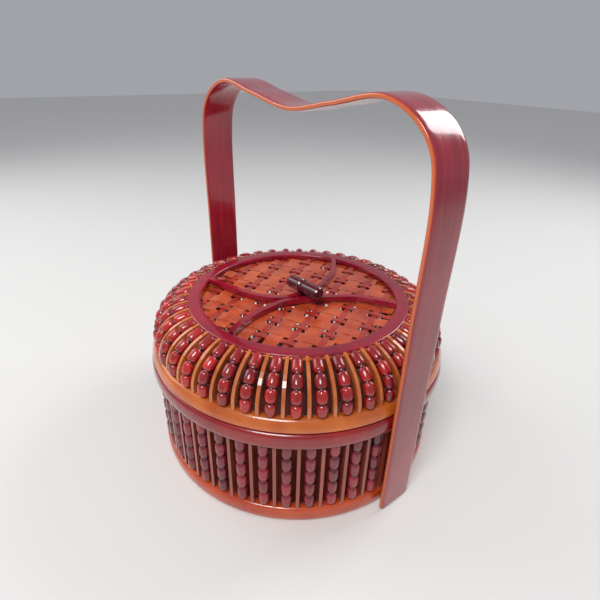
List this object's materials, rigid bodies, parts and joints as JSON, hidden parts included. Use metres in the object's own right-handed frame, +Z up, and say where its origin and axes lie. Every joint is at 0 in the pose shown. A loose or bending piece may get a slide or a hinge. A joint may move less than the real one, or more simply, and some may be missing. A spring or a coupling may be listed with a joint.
{
  "type": "lidded lacquer basket",
  "caption": "Round lacquered basket with slat and bead walls, a lift-off woven lid with a toggle knob, and an arched strip handle.",
  "frame": {"origin": "centre of the base hoop's underside", "axes": "+Z up, the handle's legs stand on the X axis"},
  "size_m": [0.1988, 0.191, 0.2225],
  "materials": {
    "base_lacquer": "gloss lacquer",
    "floor_lacquer": "satin lacquer",
    "body_lacquer": "gloss lacquer",
    "handle_lacquer": "gloss lacquer",
    "amber_lacquer": "gloss lacquer",
    "crimson_lacquer": "gloss lacquer",
    "panel_lacquer": "satin lacquer",
    "rib_lacquer": "gloss lacquer",
    "knob_lacquer": "gloss lacquer"
  },
  "bodies": {
    "basket": {"base_hoop": "base_lacquer", "floor_panel": "floor_lacquer", "body_rim": "body_lacquer", "handle": "handle_lacquer"},
    "lid": {"lid_rim": "amber_lacquer", "top_ring": "crimson_lacquer", "lid_ledge": "amber_lacquer", "lid_panel": "panel_lacquer", "rib_back": "rib_lacquer", "rib_front": "rib_lacquer", "knob": "knob_lacquer"}
  },
  "joints": [
    {"name": "lid_lift", "type": "slide", "parent": "basket", "child": "lid", "axis": [0, 0, 1], "range_m": [0, 0.09]}
  ]
}
